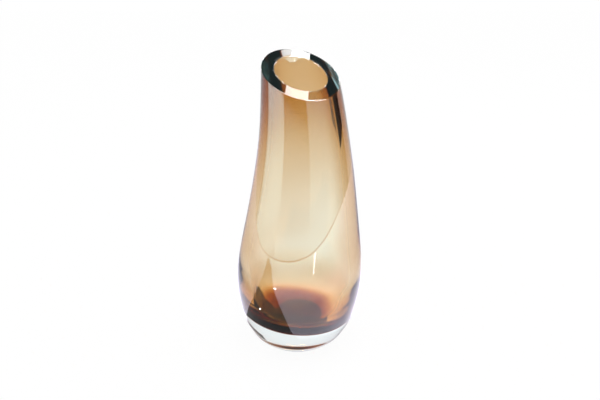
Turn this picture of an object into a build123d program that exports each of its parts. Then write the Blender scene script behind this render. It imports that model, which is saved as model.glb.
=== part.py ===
from build123d import *

import os
from math import cos, radians, sin

# A hand-blown vase of cased glass. An amber bubble, the underlay, is blown inside a thick gather
# of clear glass, the casing, which also makes the heavy clear base. The rim is cut at a slant and
# polished. Millimetres, +Z up, origin at the middle of the foot, +Y pointing away from the side
# that is seen first.

# Driving dimensions of the outside
vase_height = 230.0  # from the foot to the high point of the rim
belly_radius = 49.45  # outside radius at the widest level
axis_bow = 5.2  # how far the blown body's middle line swings to +X before it comes back
foot_corner = 1.4  # rounding where the flat foot turns up into the side
rim_tilt = 26.7  # degrees between the cut rim and the horizontal
rim_low_heading = -68.5  # degrees from +X to the low side of the rim, seen from above
rim_edge = 0.4  # polished outer edge of the cut rim

# Driving dimensions of the glass
side_wall = 9.15  # casing and underlay together, in the side wall
base_thickness = 26.0  # both layers together, under the hollow's floor
underlay_floor = 7.0  # amber layer under the hollow's floor, where the colour pools
underlay_rim = 1.7  # amber layer at the cut rim, where it is thickest in the wall
bubble_lean = 5.5  # degrees that the bubble's bottom leans over in the casing, its +X side down
mouth_shift = 0.55  # how far the blown mouth lies off the middle of the rim, to +X
mouth_bevel = 0.7  # small bright bevel round the mouth
cut_overrun = 12.0  # how far each blown form is carried past the high point of the rim

# The outside's outline from the foot up: the height as a share of the vase's height, the radius as
# a share of the belly's, and the share of the axis's bow that is reached there
outside_shares = (
    (0.000, 0.550, 0.000),
    (0.022, 0.682, 0.019),
    (0.050, 0.779, 0.043),
    (0.090, 0.879, 0.079),
    (0.140, 0.946, 0.131),
    (0.200, 0.992, 0.208),
    (0.260, 1.000, 0.304),
    (0.330, 0.971, 0.438),
    (0.420, 0.908, 0.637),
    (0.520, 0.833, 0.859),
    (0.620, 0.762, 1.000),
    (0.750, 0.674, 0.951),
    (0.880, 0.600, 0.586),
    (1.000, 0.524, 0.060),
)

# The amber layer in the side wall: the height as a share of the vase's height, and the thickness
# there as a share of the thickness at the rim. The glass thins where the bubble was blown widest.
layer_shares = (
    (0.26, 0.32),
    (0.42, 0.29),
    (0.52, 0.31),
    (0.62, 0.38),
    (0.75, 0.57),
    (0.88, 0.95),
    (1.00, 1.00),
)

# How the bubble comes upright above its bowl: the height as a share of the vase's height, and the
# share of the bottom's lean that is left there
lean_shares = (
    (0.26, 1.00),
    (0.33, 0.85),
    (0.42, 0.52),
    (0.52, 0.20),
    (0.62, 0.00),
    (1.00, 0.00),
)

# The bowl at the bottom of the hollow, and the fuller one of the amber layer round it: how far up
# each ring is, as a share of the way from the bowl's floor to its top, and its radius as a share
# of the radius at its top
bowl_top_share = 0.26  # the top of both bowls, as a share of the vase's height
hollow_bowl_shares = (
    (0.000, 0.411),
    (0.015, 0.580),
    (0.047, 0.715),
    (0.118, 0.808),
    (0.237, 0.872),
    (0.444, 0.934),
    (0.710, 0.976),
)
layer_bowl_shares = (
    (0.000, 0.390),
    (0.027, 0.515),
    (0.072, 0.635),
    (0.142, 0.744),
    (0.250, 0.835),
    (0.392, 0.904),
    (0.564, 0.959),
    (0.760, 0.987),
)


def between(rows, share):
    """The other columns of a table at a share of the height, on straight lines between its rows."""
    pairs = list(zip(rows, rows[1:]))
    low, high = next((pair for pair in pairs if share <= pair[1][0]), pairs[-1])
    way = (share - low[0]) / (high[0] - low[0])
    return [start + way * (end - start) for start, end in zip(low[1:], high[1:])]


def outline_at(height):
    """The outside's radius and shift at a height."""
    radius_share, bow_share = between(outside_shares, height / vase_height)
    return radius_share * belly_radius, bow_share * axis_bow


def outside_rings():
    """Height, radius and shift of each ring of the outside, carried on past the rim."""
    heights = [row[0] * vase_height for row in outside_shares] + [vase_height + cut_overrun]
    return [(height, *outline_at(height)) for height in heights]


def inner_rings(floor, bowl_shares, underlay):
    """The rings of a form inside the outside: a leaning bowl, then a wall that comes upright."""
    bowl_top = bowl_top_share * vase_height
    side = []
    for height, radius, shift in outside_rings():
        if height >= bowl_top:
            share = min(height / vase_height, 1)
            way = (height - bowl_top) / (vase_height - bowl_top)
            layer = underlay * between(layer_shares, share)[0]
            lean = bubble_lean * between(lean_shares, share)[0]
            side.append((height, radius - side_wall + layer, shift + way * mouth_shift, lean))
    top_height, top_radius, top_shift, lean = side[0]
    bowl = []
    for rise_share, radius_share in bowl_shares:
        drop = (1 - rise_share) * (top_height - floor)
        height = top_height - drop * cos(radians(lean))
        bowl.append((height, radius_share * top_radius, top_shift - drop * sin(radians(lean)), lean))
    return bowl + side


def ring_plane(height, shift, lean):
    """The plane of a ring of the bubble: level along Y, and leaning down towards +X."""
    tip = radians(lean)
    return Plane(origin=(shift, 0, height), x_dir=(cos(tip), 0, -sin(tip)), z_dir=(sin(tip), 0, cos(tip)))


# The plane of the cut: it touches the vase's full height at the high side of the rim, and tips
# down towards the low side
low_side = (cos(radians(rim_low_heading)), sin(radians(rim_low_heading)))
rim_radius, rim_shift = outline_at(vase_height)
rim_plane = Plane(
    origin=(rim_shift - rim_radius * low_side[0], -rim_radius * low_side[1], vase_height),
    x_dir=(-low_side[1], low_side[0], 0),
    z_dir=(
        sin(radians(rim_tilt)) * low_side[0],
        sin(radians(rim_tilt)) * low_side[1],
        cos(radians(rim_tilt)),
    ),
)

# The outside of the glass, uncut, standing on its flat foot
with BuildPart() as outside_form:
    for height, radius, shift in outside_rings():
        with BuildSketch(Plane(origin=(shift, 0, height))):
            Circle(radius)
    loft()
    fillet(outside_form.edges().sort_by(Axis.Z)[0], foot_corner)

# The outside of the amber layer, uncut: the clear base lies under its floor
clear_base = base_thickness - underlay_floor
with BuildPart() as layer_form:
    for height, radius, shift, lean in inner_rings(clear_base, layer_bowl_shares, underlay_rim):
        with BuildSketch(ring_plane(height, shift, lean)):
            Circle(radius)
    loft()

# The hollow, uncut
with BuildPart() as hollow_form:
    for height, radius, shift, lean in inner_rings(base_thickness, hollow_bowl_shares, 0):
        with BuildSketch(ring_plane(height, shift, lean)):
            Circle(radius)
    loft()

# Clear glass: the thick outside wall and the solid base under the amber layer
with BuildPart() as clear_casing:
    add(outside_form.part)
    add(layer_form.part, mode=Mode.SUBTRACT)
    split(bisect_by=rim_plane, keep=Keep.BOTTOM)
    cut_face = clear_casing.faces().filter_by(rim_plane)[0]
    chamfer(cut_face.outer_wire().edges(), rim_edge)

# Amber-brown glass that lines the hollow, with the bevel round the mouth
with BuildPart() as amber_underlay:
    add(layer_form.part)
    add(hollow_form.part, mode=Mode.SUBTRACT)
    split(bisect_by=rim_plane, keep=Keep.BOTTOM)
    cut_ring = amber_underlay.faces().filter_by(rim_plane)[0]
    chamfer(cut_ring.inner_wires()[0].edges(), mouth_bevel)

clear_casing.part.label = "clear_casing"
amber_underlay.part.label = "amber_underlay"

os.makedirs("parts", exist_ok=True)
export_step(clear_casing.part, "parts/clear_casing.step")
export_step(amber_underlay.part, "parts/amber_underlay.step")
for piece in (clear_casing.part, amber_underlay.part):
    box = piece.bounding_box()
    print(piece.label, "volume", round(piece.volume), "box", box.min, box.max)
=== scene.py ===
# %% [markdown]
# # A vase of cased amber glass
# The object is a tall hand-blown vase. It is made of two glasses that were gathered one over the
# other while hot: a thin amber one that lines the hollow, and a thick clear one outside it, which
# also makes the heavy base. The mouth was cut at a slant and polished. Clear glass has no colour of
# its own to paint. What the eye sees is bent background, total reflection inside the wall and the
# amber that each ray crosses, so here the shapes and the thickness of each layer do the work.

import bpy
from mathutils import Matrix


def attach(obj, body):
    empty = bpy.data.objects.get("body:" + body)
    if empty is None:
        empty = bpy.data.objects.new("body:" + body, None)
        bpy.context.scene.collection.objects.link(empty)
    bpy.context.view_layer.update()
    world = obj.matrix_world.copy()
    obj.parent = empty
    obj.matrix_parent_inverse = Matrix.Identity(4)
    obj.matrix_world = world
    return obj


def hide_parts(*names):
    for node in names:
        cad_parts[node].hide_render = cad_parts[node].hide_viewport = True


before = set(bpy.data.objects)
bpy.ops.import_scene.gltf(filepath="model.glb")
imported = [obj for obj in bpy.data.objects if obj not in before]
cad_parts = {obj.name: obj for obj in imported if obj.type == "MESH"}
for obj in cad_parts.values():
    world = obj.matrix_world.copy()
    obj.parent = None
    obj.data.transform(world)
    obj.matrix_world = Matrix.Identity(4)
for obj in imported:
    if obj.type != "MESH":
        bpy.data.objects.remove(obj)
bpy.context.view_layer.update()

# %% [markdown]
# ## Sizes
# The numbers are the ones that the solids were made from, in millimetres. The outline is a table:
# how high, how wide, and how far the soft glass had swung to one side when it set. The bubble's
# bottom leans over a little inside the clear glass, and comes upright further up.

# %% The vase's sizes, in millimetres
import math

import bpy
import numpy as np
from mathutils import Vector

height, belly_radius, axis_bow = 230.0, 49.45, 5.2
rim_tilt, rim_low_heading = math.radians(26.7), math.radians(-68.5)
side_wall, hollow_floor, clear_base, underlay_rim = 9.15, 26.0, 19.0, 1.7
bubble_lean = math.radians(5.5)
mouth_shift, mouth_bevel, rim_edge, foot_corner = 0.55, 0.7, 0.4, 1.4

outside_rows = [  # share of the height, share of the belly's radius, share of the bow
    (0.000, 0.550, 0.000), (0.022, 0.682, 0.019), (0.050, 0.779, 0.043), (0.090, 0.879, 0.079),
    (0.140, 0.946, 0.131), (0.200, 0.992, 0.208), (0.260, 1.000, 0.304), (0.330, 0.971, 0.438),
    (0.420, 0.908, 0.637), (0.520, 0.833, 0.859), (0.620, 0.762, 1.000), (0.750, 0.674, 0.951),
    (0.880, 0.600, 0.586), (1.000, 0.524, 0.060)]
layer_rows = [  # share of the height, the amber's thickness as a share of that at the rim
    (0.26, 0.32), (0.42, 0.29), (0.52, 0.31), (0.62, 0.38), (0.75, 0.57), (0.88, 0.95), (1.00, 1.00)]
lean_rows = [  # share of the height, share of the lean that is left there
    (0.00, 1.00), (0.13, 1.00), (0.26, 1.00), (0.33, 0.85), (0.42, 0.52), (0.52, 0.20), (0.62, 0.00),
    (0.75, 0.00), (1.00, 0.00)]
bowl_top = 0.26 * height
hollow_bowl = [  # share of the way up the bowl, share of the radius at its top
    (0.000, 0.000), (0.000, 0.200), (0.000, 0.411), (0.015, 0.580), (0.047, 0.715), (0.118, 0.808),
    (0.237, 0.872), (0.444, 0.934), (0.710, 0.976)]
layer_bowl = [
    (0.000, 0.000), (0.000, 0.200), (0.000, 0.390), (0.027, 0.515), (0.072, 0.635), (0.142, 0.744),
    (0.250, 0.835), (0.392, 0.904), (0.564, 0.959), (0.760, 0.987)]
print("rows in the outline:", len(outside_rows))

# %% [markdown]
# ## One smooth line through the rows
# Hot glass takes a shape with no corner in it, so each line is a natural cubic spline: the curve
# that a thin steel rule takes when it is pinned at the table's rows.


# %% A natural cubic spline
def natural(places, values):
    """A smooth curve through the values. Past the last place it goes on straight."""
    x, y = np.array(places, float), np.array(values, float)
    step = np.diff(x)
    slope = np.diff(y) / step
    system, right = np.eye(len(x)), np.zeros(len(x))
    for i in range(1, len(x) - 1):
        system[i, i - 1:i + 2] = step[i - 1], 2 * (step[i - 1] + step[i]), step[i]
        right[i] = 6 * (slope[i] - slope[i - 1])
    bend = np.linalg.solve(system, right)
    end_slope = slope[-1] + step[-1] * (bend[-2] + 2 * bend[-1]) / 6

    def curve(at):
        at = np.asarray(at, float)
        i = np.clip(np.searchsorted(x, at) - 1, 0, len(x) - 2)
        d, h = at - x[i], step[i]
        start_slope = slope[i] - h * (2 * bend[i] + bend[i + 1]) / 6
        inside = y[i] + start_slope * d + bend[i] / 2 * d**2 + (bend[i + 1] - bend[i]) / (6 * h) * d**3
        return np.where(at > x[-1], y[-1] + end_slope * (at - x[-1]), inside)

    return curve


levels = [row[0] * height for row in outside_rows]
outside_radius = natural(levels, [row[1] * belly_radius for row in outside_rows])
outside_shift = natural(levels, [row[2] * axis_bow for row in outside_rows])
lean_at = natural(*zip(*[(share * height, value * bubble_lean) for share, value in lean_rows]))
print("widest radius, mm:", round(float(outside_radius(np.arange(40, 80)).max()), 2))

# %% [markdown]
# ## Profiles
# Each skin of glass is described by one profile: radius, swing of the middle line and height, from
# the axis up past the rim, and the lean. They are made as curve objects, so that Geometry Nodes can
# read them.


# %% The foot and the outside
profile_step = 0.2  # mm between a profile's points
overrun = 8.0  # mm that a profile is carried past the rim's high point
flat_points, arc_points = 40, 14
corner_reach = 0.166  # how far along the foot the corner is rounded, as a share of its radius
corner_rise = 0.62  # how far up it is rounded, as a share of that reach


def outside_profile():
    """Rows of radius, swing, height and lean: across the foot, round its corner, up the side."""
    foot_radius = float(outside_radius(0))
    reach = foot_corner * corner_reach
    rise = reach * corner_rise
    start, corner = np.array([foot_radius - reach, 0]), np.array([foot_radius, 0])
    meet = np.array([float(outside_radius(rise)), rise])
    flat = [(share * start[0], 0) for share in np.linspace(0, 1, flat_points)]
    arc = [tuple((1 - t)**2 * start + 2 * t * (1 - t) * corner + t**2 * meet)
           for t in np.linspace(0, 1, arc_points)[1:]]
    side = [(float(outside_radius(z)), z)
            for z in np.arange(rise + profile_step, height + overrun, profile_step)]
    return [(radius, float(outside_shift(z)), z, 0.0) for radius, z in flat + arc + side]


print("rows of the outside's profile:", len(outside_profile()))


# %% The two skins inside it
def inner_profile(floor, bowl, underlay, inset=0.0):
    """Rows for a bowl and the wall above it, with the amber's thickness added where it is asked."""
    layer = natural(*zip(*[(share * height, value * underlay) for share, value in layer_rows]))
    wall = [(z, float(outside_radius(z)) - side_wall + float(layer(min(z, height))) - inset)
            for z in [*[level for level in levels if level >= bowl_top], height + overrun]]
    floor += inset
    rings = [(floor + rise * (bowl_top - floor), share * wall[0][1]) for rise, share in bowl]
    z, radius = map(np.array, zip(*(rings + wall)))
    along = np.concatenate([[0], np.cumsum(np.hypot(np.diff(z), np.diff(radius)))])
    # The line is mirrored at the axis, so that the floor is level there
    both = np.concatenate([-along[:0:-1], along])
    height_at = natural(both, np.concatenate([z[:0:-1], z]))
    radius_at = natural(both, np.concatenate([-radius[:0:-1], radius]))
    rows = []
    for length in np.arange(0, along[-1], profile_step):
        level = float(height_at(length))
        drop = max(0.0, bowl_top - level)  # the bowl leans over as one, about the middle of its top
        swing = max(0.0, (level - bowl_top) / (height - bowl_top)) * mouth_shift
        rows.append((max(0, float(radius_at(length))),
                     float(outside_shift(max(level, bowl_top))) + swing - drop * math.sin(bubble_lean),
                     level + drop * (1 - math.cos(bubble_lean)), float(lean_at(level))))
    return rows


# %% Put the profiles into curve objects, in metres
def profile_curve(name, rows):
    """A curve whose points hold radius, swing and height as x, y and z, and the lean as their radius."""
    data = bpy.data.curves.new(name, "CURVE")
    data.dimensions = "3D"
    line = data.splines.new("POLY")
    line.points.add(len(rows) - 1)
    for point, (radius, swing, level, lean) in zip(line.points, rows):
        point.co = (radius / 1000, swing / 1000, level / 1000, 1)
        point.radius = lean
    holder = bpy.data.objects.new(name, data)
    bpy.context.scene.collection.objects.link(holder)
    print(name, "points:", len(rows))
    return holder


fused_gap = 0.05  # mm between the two glasses: too little to see, enough for a ray to tell them apart
underlay_shape = clear_base, layer_bowl, underlay_rim
profile_rows = {
    "outside": outside_profile(),
    "fused_outer": inner_profile(*underlay_shape),
    "fused_inner": inner_profile(*underlay_shape, fused_gap),
    "hollow": inner_profile(hollow_floor, hollow_bowl, 0),
}
profiles = {name: profile_curve(name, rows) for name, rows in profile_rows.items()}

# %% [markdown]
# ## Why Geometry Nodes
# Every skin follows one rule: turn a profile round its swinging middle line, and stop each upright
# line of the mesh where it meets the slanted cut. A screw modifier can't bend the axis or cut the
# top at a slant without leaving slivers. A rule built from nodes can, and all its sizes stay inputs
# that may be changed later.


# %% One function that adds a node
def add(tree, kind, settings=None, links=None):
    """Adds a node with its settings, and feeds its sockets from other sockets or plain values."""
    made = tree.nodes.new(kind)
    made.location = (190 * len(tree.nodes), 0)
    for name, value in (settings or {}).items():
        setattr(made, name, value)
    for key, value in (links or {}).items():
        if isinstance(value, bpy.types.NodeSocket):
            tree.links.new(value, made.inputs[key])
        else:
            made.inputs[key].default_value = value
    return made


def new_tree(name, inputs, outputs):
    """A node tree with named inputs and outputs, and its two end nodes."""
    tree = bpy.data.node_groups.new(name, "GeometryNodeTree")
    for side, sockets in (("INPUT", inputs), ("OUTPUT", outputs)):
        for label, kind in sockets:
            tree.interface.new_socket(label, in_out=side, socket_type="NodeSocket" + kind)
    return tree, tree.nodes.new("NodeGroupInput").outputs, tree.nodes.new("NodeGroupOutput").inputs


# %% [markdown]
# ### A point of a skin
# A share of the way along the profile gives radius, swing, height and lean. The radius is an arm
# that is turned about the upright axis and then tipped by the lean. Last comes the middle line's own
# place at that height.

# %% Tree: a point from a profile and an angle
point_tree, given, result = new_tree(
    "point on a skin", [("Profile", "Geometry"), ("Share", "Float"), ("Angle", "Float")],
    [("Point", "Vector")])
stored_lean = add(point_tree, "GeometryNodeInputRadius")
sample = add(point_tree, "GeometryNodeSampleCurve", {"mode": "FACTOR"},
             {"Curves": given["Profile"], "Factor": given["Share"], "Value": stored_lean.outputs[0]})
row = add(point_tree, "ShaderNodeSeparateXYZ", None, {0: sample.outputs["Position"]})
arm = add(point_tree, "ShaderNodeCombineXYZ", None, {"X": row.outputs["X"]})
turned = add(point_tree, "ShaderNodeVectorRotate", {"rotation_type": "Z_AXIS"},
             {"Vector": arm.outputs[0], "Angle": given["Angle"]})
tipped = add(point_tree, "ShaderNodeVectorRotate", {"rotation_type": "Y_AXIS"},
             {"Vector": turned.outputs[0], "Angle": sample.outputs[0]})
middle = add(point_tree, "ShaderNodeCombineXYZ", None, {"X": row.outputs["Y"], "Z": row.outputs["Z"]})
placed = add(point_tree, "ShaderNodeVectorMath", {"operation": "ADD"},
             {0: tipped.outputs[0], 1: middle.outputs[0]})
point_tree.links.new(placed.outputs[0], result["Point"])
print("nodes in", point_tree.name + ":", len(point_tree.nodes))

# %% [markdown]
# ### Where an upright line meets the cut
# The cut is a plane. No formula gives where a swinging, tapering wall meets it, so a repeat zone
# halves the stretch that holds the answer 24 times: sample the middle, and keep the half on whose
# ends the wall is still on two sides of the plane.

# %% Tree: the share of the profile at which the cut is met
halvings = 24
cut_tree, given, result = new_tree(
    "share at the cut",
    [("Profile", "Geometry"), ("Angle", "Float"), ("Plane normal", "Vector"), ("Plane level", "Float")],
    [("Share", "Float")])
zone_start = cut_tree.nodes.new("GeometryNodeRepeatInput")
zone_end = cut_tree.nodes.new("GeometryNodeRepeatOutput")
zone_start.pair_with_output(zone_end)
zone_end.repeat_items.clear()
zone_end.repeat_items.new("FLOAT", "Below")
zone_end.repeat_items.new("FLOAT", "Above")
zone_start.inputs["Iterations"].default_value = halvings
zone_start.inputs["Below"].default_value = 0.5
zone_start.inputs["Above"].default_value = 1.0
halfway = add(cut_tree, "ShaderNodeMix", {"data_type": "FLOAT"},
              {0: 0.5, 2: zone_start.outputs["Below"], 3: zone_start.outputs["Above"]})
tried = add(cut_tree, "GeometryNodeGroup", {"node_tree": point_tree},
            {"Profile": given["Profile"], "Share": halfway.outputs[0], "Angle": given["Angle"]})
distance = add(cut_tree, "ShaderNodeVectorMath", {"operation": "DOT_PRODUCT"},
               {0: tried.outputs["Point"], 1: given["Plane normal"]})
is_above = add(cut_tree, "FunctionNodeCompare", {"data_type": "FLOAT", "operation": "GREATER_THAN"},
               {"A": distance.outputs["Value"], "B": given["Plane level"]})
for item, when_below, when_above in (("Below", halfway.outputs[0], zone_start.outputs["Below"]),
                                     ("Above", zone_start.outputs["Above"], halfway.outputs[0])):
    chosen = add(cut_tree, "GeometryNodeSwitch", {"input_type": "FLOAT"},
                 {"Switch": is_above.outputs[0], "False": when_below, "True": when_above})
    cut_tree.links.new(chosen.outputs[0], zone_end.inputs[item])
cut_tree.links.new(zone_end.outputs["Below"], result["Share"])
print("nodes in", cut_tree.name + ":", len(cut_tree.nodes))

# %% [markdown]
# ### A skin
# A flat grid is the raw sheet: across it runs the angle, up it the share of the profile. Every
# face keeps a number called boundary: 0 where glass meets air, 1 where the two glasses are fused.
# The materials read it later, because light bends at air and goes straight on where glass is
# fused to glass.

# %% Tree: a skin from the axis to the cut
cut_inputs = [("Around", "Int"), ("Plane normal", "Vector"), ("Plane level", "Float")]
skin_inputs = [("Profile", "Geometry"), ("Rows", "Int"), ("Boundary", "Float"), ("Inward", "Bool")]
skin_tree, given, result = new_tree("skin", skin_inputs + cut_inputs, [("Mesh", "Geometry")])


def sheet(tree, around, rows):
    """A grid with its angle and its share of the way up, both as fields."""
    columns = add(tree, "ShaderNodeMath", {"operation": "ADD"}, {0: around, 1: 1.0})
    grid = add(tree, "GeometryNodeMeshGrid", None,
               {"Size X": 1.0, "Size Y": 1.0, "Vertices X": columns.outputs[0], "Vertices Y": rows})
    here = add(tree, "GeometryNodeInputPosition")
    place = add(tree, "ShaderNodeSeparateXYZ", None, {0: here.outputs[0]})
    angle = add(tree, "ShaderNodeMath", {"operation": "MULTIPLY_ADD"},
                {0: place.outputs["X"], 1: 2 * math.pi, 2: math.pi})
    share = add(tree, "ShaderNodeMath", {"operation": "ADD"}, {0: place.outputs["Y"], 1: 0.5})
    return grid.outputs["Mesh"], angle.outputs[0], share.outputs[0]


raw, angle, share = sheet(skin_tree, given["Around"], given["Rows"])
top = add(skin_tree, "GeometryNodeGroup", {"node_tree": cut_tree},
          {"Profile": given["Profile"], "Angle": angle, "Plane normal": given["Plane normal"],
           "Plane level": given["Plane level"]})
way = add(skin_tree, "ShaderNodeMath", {"operation": "MULTIPLY"}, {0: share, 1: top.outputs["Share"]})
point = add(skin_tree, "GeometryNodeGroup", {"node_tree": point_tree},
            {"Profile": given["Profile"], "Share": way.outputs[0], "Angle": angle})
shaped = add(skin_tree, "GeometryNodeSetPosition", None,
             {"Geometry": raw, "Position": point.outputs["Point"]})
marked = add(skin_tree, "GeometryNodeStoreNamedAttribute", {"data_type": "FLOAT", "domain": "FACE"},
             {"Geometry": shaped.outputs[0], "Name": "boundary", "Value": given["Boundary"]})
turned_round = add(skin_tree, "GeometryNodeFlipFaces", None,
                   {"Mesh": marked.outputs[0], "Selection": given["Inward"]})
skin_tree.links.new(turned_round.outputs[0], result["Mesh"])
print("nodes in", skin_tree.name + ":", len(skin_tree.nodes))

# %% [markdown]
# ### The rim
# The cut leaves a flat ring. The polisher rounds off both its edges so that they don't chip, and
# these tiny roundings are the thin white lines along the mouth: a rounding faces every way at once,
# so some of it always mirrors a lamp. Each one is drawn by a quadratic curve in six steps. One more
# row close to it keeps the ring between them flat, also for the shading.

# %% Tree: the two edges of the ring between two skins
rim_tree, given, result = new_tree(
    "rim", [("Outer profile", "Geometry"), ("Inner profile", "Geometry"), ("Outer bevel", "Float"),
            ("Inner bevel", "Float")] + cut_inputs, [("Mesh", "Geometry")])
curve_steps = 6.0
rim_rows = 16  # two roundings of seven rows each, and one flat row beside each of them
ring_inset = 0.00005  # metres between a rounding and its flat row
raw, angle, share = sheet(rim_tree, given["Around"], rim_rows)


def edge_point(profile, lowered):
    """The point of a skin at the cut, or a bevel's height under it."""
    level = add(rim_tree, "ShaderNodeMath", {"operation": "SUBTRACT"},
                {0: given["Plane level"], 1: lowered})
    met = add(rim_tree, "GeometryNodeGroup", {"node_tree": cut_tree},
              {"Profile": profile, "Angle": angle, "Plane normal": given["Plane normal"],
               "Plane level": level.outputs[0]})
    return add(rim_tree, "GeometryNodeGroup", {"node_tree": point_tree},
               {"Profile": profile, "Share": met.outputs["Share"], "Angle": angle}).outputs["Point"]


edges = {}
for own, other in (("Outer", "Inner"), ("Inner", "Outer")):
    corner = edge_point(given[own + " profile"], 0.0)
    lowered = edge_point(given[own + " profile"], given[own + " bevel"])
    across = add(rim_tree, "ShaderNodeVectorMath", {"operation": "SUBTRACT"},
                 {0: edge_point(given[other + " profile"], 0.0), 1: corner})
    unit = add(rim_tree, "ShaderNodeVectorMath", {"operation": "NORMALIZE"}, {0: across.outputs[0]})
    moved = add(rim_tree, "ShaderNodeVectorMath", {"operation": "MULTIPLY_ADD"},
                {0: unit.outputs[0], 1: given[own + " bevel"], 2: corner})
    edges[own] = [lowered, corner, moved.outputs[0], unit.outputs[0]]
print("nodes in", rim_tree.name, "so far:", len(rim_tree.nodes))

# %% Tree: the ring itself, with each row at its step of its own edge
number = add(rim_tree, "ShaderNodeMath", {"operation": "MULTIPLY"}, {0: share, 1: rim_rows - 1.0})
back = add(rim_tree, "ShaderNodeMath", {"operation": "SUBTRACT"},
           {0: rim_rows - 1.0, 1: number.outputs[0]})
step = add(rim_tree, "ShaderNodeMath", {"operation": "MINIMUM"},
           {0: number.outputs[0], 1: back.outputs[0]})
is_inner = add(rim_tree, "FunctionNodeCompare", {"data_type": "FLOAT", "operation": "GREATER_THAN"},
               {"A": number.outputs[0], "B": rim_rows / 2 - 0.5})
low, corner, flat, unit = [
    add(rim_tree, "GeometryNodeSwitch", {"input_type": "VECTOR"},
        {"Switch": is_inner.outputs[0], "False": outer, "True": inner}).outputs[0]
    for outer, inner in zip(edges["Outer"], edges["Inner"])]
way = add(rim_tree, "ShaderNodeMath", {"operation": "DIVIDE", "use_clamp": True},
          {0: step.outputs[0], 1: curve_steps}).outputs[0]


def between(start, end):
    """A point between two others, as far along as the row is in its curve."""
    return add(rim_tree, "ShaderNodeMix", {"data_type": "VECTOR"}, {0: way, 4: start, 5: end}).outputs[1]


rounded = between(between(low, corner), between(corner, flat))
past = add(rim_tree, "ShaderNodeMath", {"operation": "SUBTRACT"}, {0: step.outputs[0], 1: curve_steps})
nudge = add(rim_tree, "ShaderNodeMath", {"operation": "MULTIPLY"}, {0: past.outputs[0], 1: ring_inset})
inset = add(rim_tree, "ShaderNodeMath", {"operation": "MAXIMUM"}, {0: nudge.outputs[0], 1: 0.0})
point = add(rim_tree, "ShaderNodeVectorMath", {"operation": "MULTIPLY_ADD"},
            {0: unit, 1: inset.outputs[0], 2: rounded})
shaped = add(rim_tree, "GeometryNodeSetPosition", None, {"Geometry": raw, "Position": point.outputs[0]})
marked = add(rim_tree, "GeometryNodeStoreNamedAttribute", {"data_type": "FLOAT", "domain": "FACE"},
             {"Geometry": shaped.outputs[0], "Name": "boundary", "Value": 0.0})
rim_tree.links.new(marked.outputs[0], result["Mesh"])
print("nodes in", rim_tree.name + ":", len(rim_tree.nodes))

# %% [markdown]
# ### A whole glass
# Both glasses are the same thing: an outer skin, a rim and an inner skin, welded into one closed
# mesh. The weld also closes the seam and gathers the points at the axis into one. Edges that turn
# by more than 35 degrees stay crisp, and all others are shaded smooth, as polished glass is.

# %% Tree: a closed piece of glass, its skins and its rim
glass_tree, given, result = new_tree(
    "glass layer",
    [("Geometry", "Geometry"), ("Outer profile", "Object"), ("Inner profile", "Object"),
     ("Outer boundary", "Float"), ("Inner boundary", "Float"), ("Outer bevel", "Float"),
     ("Inner bevel", "Float"), ("Rows", "Int"), ("Material", "Material")] + cut_inputs,
    [("Geometry", "Geometry")])
shared = {label: given[label] for label, kind in cut_inputs}
lines = {side: add(glass_tree, "GeometryNodeObjectInfo", {"transform_space": "ORIGINAL"},
                   {"Object": given[side + " profile"]}).outputs["Geometry"]
         for side in ("Outer", "Inner")}
skins = []
for side, inward in (("Outer", False), ("Inner", True)):
    level = add(glass_tree, "ShaderNodeMath", {"operation": "SUBTRACT"},
                {0: given["Plane level"], 1: given[side + " bevel"]})
    skins.append(add(glass_tree, "GeometryNodeGroup", {"node_tree": skin_tree},
                     {**shared, "Plane level": level.outputs[0], "Profile": lines[side],
                      "Rows": given["Rows"], "Boundary": given[side + " boundary"], "Inward": inward}))
rim = add(glass_tree, "GeometryNodeGroup", {"node_tree": rim_tree},
          {**shared, "Outer profile": lines["Outer"], "Inner profile": lines["Inner"],
           "Outer bevel": given["Outer bevel"], "Inner bevel": given["Inner bevel"]})
print("nodes in", glass_tree.name, "so far:", len(glass_tree.nodes))

# %% Tree: the skins and the rim welded into one mesh, smooth but for its edges
weld_reach = 2e-6  # metres
crisp_turn = math.radians(35)
joined = add(glass_tree, "GeometryNodeJoinGeometry")
for part in (*skins, rim):
    glass_tree.links.new(part.outputs["Mesh"], joined.inputs[0])
welded = add(glass_tree, "GeometryNodeMergeByDistance", None,
             {"Geometry": joined.outputs[0], "Distance": weld_reach})
smooth = add(glass_tree, "GeometryNodeSetShadeSmooth", {"domain": "FACE"},
             {"Geometry": welded.outputs[0], "Shade Smooth": True})
turn = add(glass_tree, "GeometryNodeInputMeshEdgeAngle")
is_edge = add(glass_tree, "FunctionNodeCompare", {"data_type": "FLOAT", "operation": "GREATER_THAN"},
              {"A": turn.outputs["Unsigned Angle"], "B": crisp_turn})
crisp = add(glass_tree, "GeometryNodeSetShadeSmooth", {"domain": "EDGE"},
            {"Geometry": smooth.outputs[0], "Selection": is_edge.outputs[0], "Shade Smooth": False})
real = add(glass_tree, "GeometryNodeRealizeInstances", None, {"Geometry": crisp.outputs[0]})
finished = add(glass_tree, "GeometryNodeSetMaterial", None,
               {"Geometry": real.outputs[0], "Material": given["Material"]})
glass_tree.links.new(finished.outputs[0], result["Geometry"])
print("nodes in", glass_tree.name + ":", len(glass_tree.nodes))

# %% [markdown]
# ## The glasses
# Both are soda-lime glass, free-blown against air and flame, so their skins are fire-polished and
# mirror smooth, and the cut rim was ground and polished. Glass bends light by its index of
# refraction, 1.5, and takes its colour from depth: a volume that absorbs some of each colour per
# millimetre. That is why the thin wall is cream, the neck amber and the pool in the base near black.


# %% Colours from sRGB hex to linear
def linear(code):
    """An sRGB hex colour as linear numbers with alpha."""
    parts = [int(code[i:i + 2], 16) / 255 for i in (1, 3, 5)]
    return (*[part / 12.92 if part <= 0.04045 else ((part + 0.055) / 1.055)**2.4 for part in parts], 1.0)


print("middle grey, #808080, as linear:", [round(part, 3) for part in linear("#808080")])


# %% A glass with its own index, colour and density
glass_index = 1.5


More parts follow.
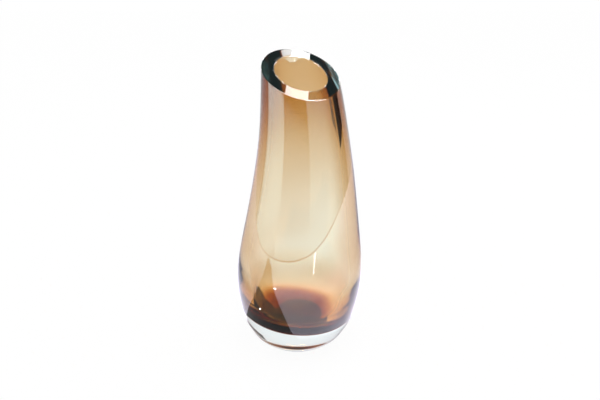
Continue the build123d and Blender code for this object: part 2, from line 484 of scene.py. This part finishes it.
def cased_glass(name, colour, density):
    """Polished glass that absorbs light by its depth, and that is fused where boundary is 1."""
    material = bpy.data.materials.new(name)
    material.use_nodes = True
    tree = material.node_tree
    surface, output = tree.nodes["Principled BSDF"], tree.nodes["Material Output"]
    surface.inputs["Base Color"].default_value = (1, 1, 1, 1)
    surface.inputs["Transmission Weight"].default_value = 1
    surface.inputs["Roughness"].default_value = 0
    fused = add(tree, "ShaderNodeAttribute", {"attribute_name": "boundary"})
    index = add(tree, "ShaderNodeMath", {"operation": "MULTIPLY_ADD"},
                {0: fused.outputs["Fac"], 1: 1 - glass_index, 2: glass_index})
    tree.links.new(index.outputs[0], surface.inputs["IOR"])
    depth = add(tree, "ShaderNodeVolumeAbsorption", None, {"Color": linear(colour), "Density": density})
    tree.links.new(depth.outputs[0], output.inputs["Volume"])
    print(name, "lets through per 10 mm:",
          [round(math.exp(-(1 - part) * density / 100), 3) for part in linear(colour)[:3]])
    return material


# Clear soda-lime glass: a little iron makes it faintly blue-green, seen only along the long way
# through the wall at the rim
clear_glass = cased_glass("clear soda-lime glass, fire-polished", "#e4f6f8", 6.0)
# Amber glass: carbon and iron sulphide take blue first, then green, so a thin layer looks cream and
# a thick one brown
amber_glass = cased_glass("amber soda-lime glass underlay", "#e8c97c", 1200.0)

# %% [markdown]
# ## Making the two pieces
# The tree goes on an empty object as a modifier, its inputs are set by their identifiers, and the
# result is taken as a plain mesh. Then the modifier goes, and the pieces stand in the packed
# solids' place.

# %% The plane of the cut, through the rim's high point
slope = math.tan(rim_tilt)
low_side = np.array([math.cos(rim_low_heading), math.sin(rim_low_heading)])
plane_normal = (slope * low_side[0], slope * low_side[1], 1.0)
high_point = np.array([float(outside_shift(height)), 0]) - low_side * float(outside_radius(height))
plane_level = (plane_normal[0] * high_point[0] + plane_normal[1] * high_point[1] + height) / 1000
print("the cut meets the upright axis at mm:", round(plane_level * 1000, 1))

# %% Turn the tree into plain meshes
faces_around, faces_up = 220, 190


def blow(name, material, outer, inner, boundary, bevels):
    """Makes one glass as a closed mesh."""
    piece = bpy.data.objects.new(name, bpy.data.meshes.new(name))
    bpy.context.scene.collection.objects.link(piece)
    modifier = piece.modifiers.new("glass layer", "NODES")
    modifier.node_group = glass_tree
    values = {"Outer profile": profiles[outer], "Inner profile": profiles[inner],
              "Outer boundary": boundary[0], "Inner boundary": boundary[1],
              "Outer bevel": bevels[0] / 1000, "Inner bevel": bevels[1] / 1000,
              "Rows": faces_up, "Around": faces_around, "Plane normal": plane_normal,
              "Plane level": plane_level, "Material": material}
    for item in glass_tree.interface.items_tree:
        if item.in_out == "INPUT" and item.name in values:
            modifier[item.identifier] = values[item.name]
    shape = bpy.data.meshes.new_from_object(piece.evaluated_get(bpy.context.evaluated_depsgraph_get()))
    piece.modifiers.clear()
    piece.data = shape
    shape.name = name
    shape.materials.clear()
    shape.materials.append(material)
    print(name, "triangles:", sum(len(face.vertices) - 2 for face in shape.polygons))
    return piece


casing = blow("clear_casing_glass", clear_glass, "outside", "fused_outer", (0.0, 1.0), (rim_edge, 0.0))
underlay = blow("amber_underlay_glass", amber_glass, "fused_inner", "hollow", (1.0, 0.0),
                (0.0, mouth_bevel))
for line in profiles.values():
    bpy.data.objects.remove(line)
for piece, node, slot in ((casing, "clear_casing", "clear_glass"),
                          (underlay, "amber_underlay", "amber_glass")):
    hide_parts(node)
    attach(piece, "root")

# %% [markdown]
# ## Floor and background
# The floor is plain white card. To the camera the card is brighter than its own light would make
# it, so that it looks white and keeps a faint shadow. Through the glass it is nearly white too.

# %% The card floor, and matt white card for it
scene = bpy.context.scene
floor_half, floor_level = 4, -0.0004  # metres
corners = [(i * floor_half, j * floor_half, 0) for i, j in ((-1, -1), (1, -1), (1, 1), (-1, 1))]
data = bpy.data.meshes.new("floor")
data.from_pydata(corners, [], [(0, 1, 2, 3)])
floor = bpy.data.objects.new("floor", data)
scene.collection.objects.link(floor)
floor.location.z = floor_level
# Matt white card: it gives the vase a soft pale ground with no shine
matt = bpy.data.materials.new("white card")
matt.use_nodes = True
data.materials.append(matt)
tree = matt.node_tree
surface = tree.nodes["Principled BSDF"]
surface.inputs["Base Color"].default_value = linear("#f4f4f4")
surface.inputs["Roughness"].default_value = 1.0
surface.inputs["Specular IOR Level"].default_value = 0.0
print("floor card, metres across:", 2 * floor_half)

# %% How the floor looks to the camera and through the glass, and the white world
camera_share = 0.95  # share of plain white in what the camera sees: the rest is the card with its shadow
through_glass = 0.96  # brightness seen through the glass, where white is 1
path = add(tree, "ShaderNodeLightPath")
glow = add(tree, "ShaderNodeEmission", None, {"Color": (1, 1, 1, 1), "Strength": 1.0})
through = add(tree, "ShaderNodeEmission", None, {"Color": (1, 1, 1, 1), "Strength": through_glass})
seen = add(tree, "ShaderNodeMixShader", None,
           {0: path.outputs["Is Transmission Ray"], 1: surface.outputs[0], 2: through.outputs[0]})
share = add(tree, "ShaderNodeMath", {"operation": "MULTIPLY"},
            {0: path.outputs["Is Camera Ray"], 1: camera_share})
mixed = add(tree, "ShaderNodeMixShader", None,
            {0: share.outputs[0], 1: seen.outputs[0], 2: glow.outputs[0]})
tree.links.new(mixed.outputs[0], tree.nodes["Material Output"].inputs["Surface"])
world = bpy.data.worlds.new("white studio")
scene.world = world
world.use_nodes = True
world.node_tree.nodes["Background"].inputs["Color"].default_value = (1, 1, 1, 1)
world.node_tree.nodes["Background"].inputs["Strength"].default_value = 1.0
print("white studio ready")

# %% [markdown]
# ## What the glass mirrors
# Seen straight on, polished glass mirrors only about a twenty-fifth of what stands in front of it,
# so its sheen comes from things much brighter than white. They stand in a ring round the vase: a
# softbox left, a larger one right, and between them a lit table, a glowing sheet of painted light,
# with a dark room above it, which is the clear strip down the middle of the neck. Only mirrored rays
# meet them. Matt things stay plainly lit, and what is seen through the glass stays white.


# %% A glowing sheet that only one kind of ray meets, and its points round the vase
def glow_sheet(name, points, columns, colours, kind="glossy"):
    """A sheet of points in rows, each with its own brightness: 1 is the background's white."""
    rows = len(points) // columns
    faces = [(i * columns + j, i * columns + j + 1, (i + 1) * columns + j + 1, (i + 1) * columns + j)
             for i in range(rows - 1) for j in range(columns - 1)]
    data = bpy.data.meshes.new(name)
    data.from_pydata(points, [], faces)
    stored = data.color_attributes.new("glow", "FLOAT_COLOR", "POINT")
    stored.data.foreach_set("color", [value for colour in colours for value in (*colour, 1.0)])
    material = bpy.data.materials.new(name)
    material.use_nodes = True
    tree = material.node_tree
    read = add(tree, "ShaderNodeAttribute", {"attribute_name": "glow"})
    shine = add(tree, "ShaderNodeEmission", None, {"Color": read.outputs["Color"], "Strength": 1.0})
    tree.links.new(shine.outputs[0], tree.nodes["Material Output"].inputs["Surface"])
    data.materials.append(material)
    holder = bpy.data.objects.new(name, data)
    scene.collection.objects.link(holder)
    for ray in ("camera", "diffuse", "glossy", "transmission", "shadow", "volume_scatter"):
        setattr(holder, "visible_" + ray, ray == kind)
    print(name, "seen by rays of the kind:", kind)


def heading(azimuth, distance, level):
    """A point by its azimuth, from the front to the right, its distance and its height in mm."""
    a = math.radians(azimuth)
    return (math.sin(a) * distance / 1000, -math.cos(a) * distance / 1000, level / 1000)


def ring(turns, rows):
    """Points round the vase: a row for each distance and height, with one point for each turn."""
    return [heading(turn, distance, level) for distance, level in rows for turn in turns]


def at(place, marks):
    """The value at a place, on straight lines between marks of place and value."""
    return float(np.interp(place, *zip(*marks)))


# %% The softboxes and the dark front: brightness across, by azimuth, times brightness up, by mm
cyan, lilac = (0.66, 1.0, 1.06), (0.90, 0.86, 1.0)
room_radius, room_height = 730, 800  # mm
gap = 4  # mm of dark line between the table's edge and the lamps
heights = [gap, *range(10, 300, 10), *range(300, room_height + 1, 50)]
wall_columns = 70
walls = {
    "left softbox": (
        [(-107, 0.0), (-98, 0.9), (-80, 1.0), (-60, 1.0), (-49, 0.85)],
        [(0, 3.4), (40, 4.0), (70, 4.7), (110, 5.7), (165, 6.6), (300, 7.0), (800, 3.0)]),
    # the dark front is the unlit room above 200 mm; its brighter foot is painted light of the lit ground
    # beyond the table
    "dark front": (
        [(-49, 1.0), (12.5, 1.1)],
        [(0, 5.0), (40, 4.9), (70, 3.6), (110, 2.6), (165, 1.2), (200, 0.0), (800, 0.0)]),
    "right softbox": (
        [(12.5, 0.93), (30, 1.0), (55, 1.0), (65, 0.8), (75, 0.52), (85, 0.28), (95, 0.1), (115, 0.0)],
        [(0, 6.2), (40, 6.1), (70, 5.4), (110, 4.8), (165, 3.4), (300, 2.5), (800, 1.5)]),
}
for name, (across, up) in walls.items():
    turns = np.linspace(across[0][0], across[-1][0], wall_columns)
    colours = [[part * at(turn, across) * at(level, up) for part in cyan]
               for level in heights for turn in turns]
    glow_sheet(name, ring(turns, [(room_radius, level) for level in heights]), wall_columns, colours)

# %% The lit table, a glowing sheet of painted light: brightest at its far edge, and dim at its sides, at its back and under the vase
# painted shade: the dim ring out to 48 mm is the vase's own shade round its foot, and the lower levels at
# the sides and back are painted falloff of the light
outward = [(0, 0.6), (48, 0.6), (60, 3.2), (150, 3.2), (200, 4.3), (300, 4.5), (450, 5.0), (600, 6.8),
           (730, 7.8)]
around = [(-150, 0.16), (-128, 0.18), (-110, 0.22), (-95, 0.3), (-75, 0.5), (-60, 0.65), (-40, 1.0),
          (60, 1.0), (80, 0.7), (95, 0.45), (110, 0.3), (128, 0.2), (150, 0.16)]
# painted light: out to 220 mm the table is kept lit on every side
near_vase = [(120, 0.75), (220, 0.0)]
cyan_outward, cyan_around = [(240, 0), (400, 1)], [(60, 1), (100, 0)]
turns = np.linspace(-180, 180, 121)
radii = [*range(0, 240, 12), *range(240, room_radius, 35), room_radius]
colours = []
for radius in radii:
    for turn in turns:
        share = at(radius, cyan_outward) * at(abs(turn), cyan_around)
        level = at(radius, outward) * max(at(turn, around), at(radius, near_vase))
        colours.append([level * (a + share * (b - a)) for a, b in zip(lilac, cyan)])
glow_sheet("lit table top", ring(turns, [(radius, -0.3) for radius in radii]), len(turns), colours)


# %% The ceiling, and a strip lamp that whitens the rim's front and back
def plain_sheet(name, points, columns, level, kind="glossy"):
    """A sheet of one brightness."""
    glow_sheet(name, points, columns, [(level, level, level)] * len(points), kind)


full_turn = np.linspace(-180, 180, 61)
glow_sheet("dim ceiling", ring(full_turn, [(0, room_height), (room_radius, room_height)]), len(full_turn),
           [(0.16, 0.24, 0.25)] * 2 * len(full_turn))
strip = [(x / 1000, y / 1000, 0.78) for y, left, right in ((60, 105, 172), (420, 105, 136))
         for x in (left, right)]
glow_sheet("overhead strip", strip, 2, [(4.0, 3.9, 3.0)] * 2 + [(14.0, 14.0, 14.0)] * 2)

# %% Two very bright lamps, for the thin white lines on the rim's roundings
lamp_level = 790  # mm, just under the ceiling
turns = np.linspace(-75, 75, 31)
plain_sheet("front ceiling lamp", ring(turns, [(200, lamp_level), (700, lamp_level)]), len(turns), 60.0)
turns = np.linspace(118, 242, 31)
plain_sheet("back lamp", ring(turns, [(720, 710), (720, lamp_level)]), len(turns), 70.0)

# %% Small bright things on the table: two glowing patches for painted glints, and a slim tube lamp
# painted highlights: the two patches are no lamps; the glass mirrors them as glints
for name, azimuth, radius, size in (("first glint", -39, 250, 9), ("second glint", -61, 101, 2.5)):
    x, y, z = heading(azimuth, radius, 0.5)
    corners = [(x + i * size / 1000, y + j * size / 1000, z) for j in (-1, 1) for i in (-1, 1)]
    plain_sheet(name, corners, 2, 60.0)
tube = [heading(azimuth + side, radius, 0.5)
        for azimuth, radius in ((22.0, 400), (24.5, 720)) for side in (-0.9, 0.9)]
plain_sheet("slim tube lamp", tube, 2, 25.0)

# %% [markdown]
# ## Shadows that the glass shows
# Light comes from the right, so the vase's own shadow lies on the table to its front left. Here it is
# a painted shadow, a dim sheet that the side mirrors as a slim dark wedge. Through the clear base the
# glass shows the ground again: the spot under the foot, painted shade where little light gets in, is
# the dark lens in the pool. Round it lies painted light, a glowing sheet for the light that the base
# has gathered, and the near end of the shadow, painted as dark sheets, makes the pool's left and lower
# parts black. Each lies a fraction of a millimetre above the card, the ones that cover the others a
# little higher.


# %% The mirrored shadow: a painted shadow, a dim sheet over the lit table in the shape of the vase's shadow
def patch(name, outline, level, up, kind):
    """A level shape on the table, in mm, of an even brightness, that only one kind of ray meets."""
    middle = np.mean(outline, axis=0)
    edge = [(x / 1000, y / 1000, up / 1000) for x, y in [*outline, outline[0]]]
    plain_sheet(name, [(middle[0] / 1000, middle[1] / 1000, up / 1000)] * len(edge) + edge, len(edge),
                level, kind)


patch("mirrored shadow", [(-64, 11), (-230, -87), (-626, -345), (-619, -372), (-401, -329), (-114, -154),
                          (-47, -103), (14, -39)], 0.5, -0.1, "glossy")

# %% Painted light and shade that the base shows of the table: gathered light, the spot under the foot, the shadow's near end
# painted light: a glowing ring, brightest near the foot, for the light that the base gathers onto the
# table
gathered = [(24, 1.6), (55, 1.5), (80, 1.2), (110, 1.0), (130, 0.96)]  # mm from the axis, brightness
glow_sheet("gathered light", ring(full_turn, [(radius, -0.35) for radius, level in gathered]),
           len(full_turn), [(level, level, level) for radius, level in gathered for turn in full_turn],
           "transmission")
# painted shade: a dim disc for the shade under the foot, where little light gets in
spot_radius = 23
spot = [(spot_radius * math.cos(a), spot_radius * math.sin(a)) for a in np.linspace(0, 2 * math.pi, 64)]
patch("spot under the foot", spot, 0.35, -0.3, "transmission")
# painted shadows: a dim and a near black sheet for the near end of the vase's shadow
patch("left shadow", [(-15, 0), (-54, 51), (-66, 51), (-66, 0)], 0.22, -0.2, "transmission")
patch("front shadow", [(-200, 0), (12, 0), (45, -30), (60, -80), (-200, -80)], 0.04, -0.2, "transmission")

# %% A black flag behind the right side, seen through the neck's glass as its dark edge strip
turns = np.linspace(118, 150, 16)
plain_sheet("right flag", ring(turns, [(450, 105), (450, 190)]), len(turns), 0.04, "transmission")

# %% [markdown]
# ## The lamp
# One broad lamp hangs high at the back right and gives the soft shadow on the floor. Glass doesn't
# mirror it, so it adds no glare.

# %% The one real lamp
lamp_heading, lamp_climb = 118, math.radians(65)
lamp_reach, lamp_aim = 1300, 120  # mm from the point on the vase's axis that it aims at, and its height
lamp_white = 1.6  # times the background's white
data = bpy.data.lights.new("overhead lamp", "AREA")
data.shape = "SQUARE"
data.size = 0.9
data.energy = lamp_white * math.pi * data.size**2
lamp = bpy.data.objects.new("overhead lamp", data)
scene.collection.objects.link(lamp)
lamp.location = heading(lamp_heading, lamp_reach * math.cos(lamp_climb),
                        lamp_aim + lamp_reach * math.sin(lamp_climb))
aim = Vector((0, 0, lamp_aim / 1000)) - lamp.location
lamp.rotation_euler = aim.to_track_quat("-Z", "Y").to_euler()
lamp.visible_camera = lamp.visible_glossy = lamp.visible_transmission = False
print("lamp at", tuple(round(part, 3) for part in lamp.location))

# %% [markdown]
# ## Light paths
# A ray that enters the wall may be mirrored inside it many times before it leaves, so the scene
# allows long paths. With too few, the rim's dark and bright pieces turn into plain black.

# %% Long paths and plain colour
scene.view_settings.view_transform = "Standard"
bounces = 48
for kind in ("max_bounces", "transmission_bounces", "glossy_bounces", "transparent_max_bounces"):
    setattr(scene.cycles, kind, bounces)
print("bounces allowed:", scene.cycles.max_bounces)

# %% [markdown]
# ## Camera
# The view was fitted to the vase's outline, foot and rim together: it looks down by 20 degrees from
# half a metre away. The focal length and the middle of the vase are kept in pixels of a picture that
# is 600 wide, as they were found, and turned into the lens and a small step to the side.

# %% The camera
look_down, away, aim_height = math.radians(20), 0.5, 0.1185  # metres
image_width, focal_pixels, middle_column = 600, 647.7, 297.34
sensor_width = 36
camera = bpy.data.objects.new("camera", bpy.data.cameras.new("camera"))
scene.collection.objects.link(camera)
camera.data.sensor_width = sensor_width
camera.data.lens = focal_pixels * sensor_width / image_width
aside = (image_width / 2 - middle_column) / focal_pixels * away
camera.location = (aside, -away * math.cos(look_down), aim_height + away * math.sin(look_down))
camera.rotation_euler = (math.pi / 2 - look_down, 0, 0)
scene.camera = camera
print("camera at", tuple(round(part, 3) for part in camera.location))
